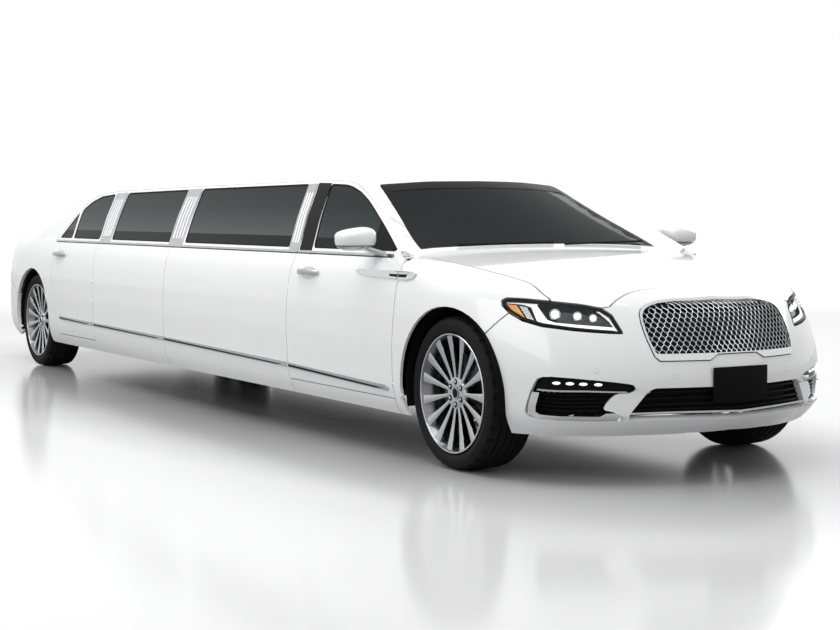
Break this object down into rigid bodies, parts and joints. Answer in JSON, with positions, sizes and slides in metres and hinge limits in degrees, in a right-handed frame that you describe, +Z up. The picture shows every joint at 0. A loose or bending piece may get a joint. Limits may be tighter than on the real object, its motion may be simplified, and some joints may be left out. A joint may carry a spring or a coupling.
{
  "type": "stretch limousine",
  "caption": "Lengthened white luxury saloon with hinged doors, bonnet and boot lid, a fitted cabin, and wheels that roll and steer.",
  "frame": {"origin": "on the ground, midway between nose and tail and between the sides", "axes": "+X to the nose, +Y to the car's left, +Z up"},
  "size_m": [8.1583, 2.216, 1.4519],
  "materials": {
    "body_paint": "gloss white paint",
    "black_metal": "satin black",
    "grille_black": "gloss black",
    "headlamp_clear": "clear",
    "tail_lamp_red": "gloss red",
    "tinted_glass": "dark tint",
    "liner_plastic": "matte",
    "engine_iron": "cast",
    "exhaust_steel": "brushed",
    "dash_plastic": "grained",
    "seat_leather": "soft black",
    "cabin_trim": "dark lacquer",
    "hub_steel": "cast",
    "tyre_rubber": "matte",
    "wheel_alloy": "polished"
  },
  "bodies": {
    "shell": {"body_sides": "body_paint", "roof_panel": "body_paint", "front_fenders": "body_paint", "front_bumper": "body_paint", "rear_bumper": "body_paint", "rear_deck": "body_paint", "floor_pan": "black_metal", "bulkhead": "black_metal", "grille": "grille_black", "headlamps": "headlamp_clear", "tail_lamps": "tail_lamp_red", "fixed_glass": "tinted_glass", "wheel_liners": "liner_plastic", "front_subframe": "black_metal", "rear_subframe": "black_metal", "engine_block": "engine_iron", "exhaust": "exhaust_steel", "driveshaft": "exhaust_steel", "fuel_tank": "liner_plastic", "dashboard": "dash_plastic", "front_seats": "seat_leather", "partition": "cabin_trim", "cabin_benches": "seat_leather"},
    "front_door_right": {"front_door_right": "body_paint", "front_door_glass_right": "tinted_glass", "door_mirror_right": "body_paint"},
    "rear_door_right": {"rear_door_right": "body_paint", "rear_door_glass_right": "tinted_glass"},
    "steered_hub_right": {"front_knuckle_right": "hub_steel"},
    "front_roller_right": {"front_tyre_right": "tyre_rubber", "front_wheel_right": "wheel_alloy"},
    "rear_roller_right": {"rear_tyre_right": "tyre_rubber", "rear_wheel_right": "wheel_alloy"},
    "front_door_left": {"front_door_left": "body_paint", "front_door_glass_left": "tinted_glass", "door_mirror_left": "body_paint"},
    "rear_door_left": {"rear_door_left": "body_paint", "rear_door_glass_left": "tinted_glass"},
    "steered_hub_left": {"front_knuckle_left": "hub_steel"},
    "front_roller_left": {"front_tyre_left": "tyre_rubber", "front_wheel_left": "wheel_alloy"},
    "rear_roller_left": {"rear_tyre_left": "tyre_rubber", "rear_wheel_left": "wheel_alloy"},
    "bonnet": {"bonnet": "body_paint"},
    "boot_lid": {"boot_lid": "body_paint"}
  },
  "joints": [
    {"name": "front_door_right_hinge", "type": "hinge", "parent": "shell", "child": "front_door_right", "pos_m": [2.721, -0.944, 0.6], "axis": [0, 0, 1], "range_deg": [0, 65]},
    {"name": "rear_door_right_hinge", "type": "hinge", "parent": "shell", "child": "rear_door_right", "pos_m": [-1.49, -0.944, 0.6], "axis": [0, 0, 1], "range_deg": [0, 65]},
    {"name": "front_door_left_hinge", "type": "hinge", "parent": "shell", "child": "front_door_left", "pos_m": [2.721, 0.944, 0.6], "axis": [0, 0, -1], "range_deg": [0, 65]},
    {"name": "rear_door_left_hinge", "type": "hinge", "parent": "shell", "child": "rear_door_left", "pos_m": [-1.49, 0.944, 0.6], "axis": [0, 0, -1], "range_deg": [0, 65]},
    {"name": "bonnet_hinge", "type": "hinge", "parent": "shell", "child": "bonnet", "pos_m": [2.751, 0, 0.9853], "axis": [0, -1, 0], "range_deg": [0, 60]},
    {"name": "boot_lid_hinge", "type": "hinge", "parent": "shell", "child": "boot_lid", "pos_m": [-3.358, 0, 1.0222], "axis": [0, 1, 0], "range_deg": [0, 80]},
    {"name": "steer_right", "type": "hinge", "parent": "shell", "child": "steered_hub_right", "pos_m": [3.15, -0.76, 0.352], "axis": [0, 0, 1], "range_deg": [-33, 33]},
    {"name": "front_wheel_right_spin", "type": "hinge", "parent": "steered_hub_right", "child": "front_roller_right", "pos_m": [3.15, -0.792, 0.352], "axis": [0, 1, 0], "continuous": true},
    {"name": "rear_wheel_right_spin", "type": "hinge", "parent": "shell", "child": "rear_roller_right", "pos_m": [-2.892, -0.792, 0.352], "axis": [0, 1, 0], "continuous": true},
    {"name": "steer_left", "type": "hinge", "parent": "shell", "child": "steered_hub_left", "pos_m": [3.15, 0.76, 0.352], "axis": [0, 0, 1], "range_deg": [-33, 33]},
    {"name": "front_wheel_left_spin", "type": "hinge", "parent": "steered_hub_left", "child": "front_roller_left", "pos_m": [3.15, 0.792, 0.352], "axis": [0, 1, 0], "continuous": true},
    {"name": "rear_wheel_left_spin", "type": "hinge", "parent": "shell", "child": "rear_roller_left", "pos_m": [-2.892, 0.792, 0.352], "axis": [0, 1, 0], "continuous": true}
  ],
  "couplings": [
    {"joint": "steer_right", "follows": "steer_left", "ratio": 1}
  ]
}
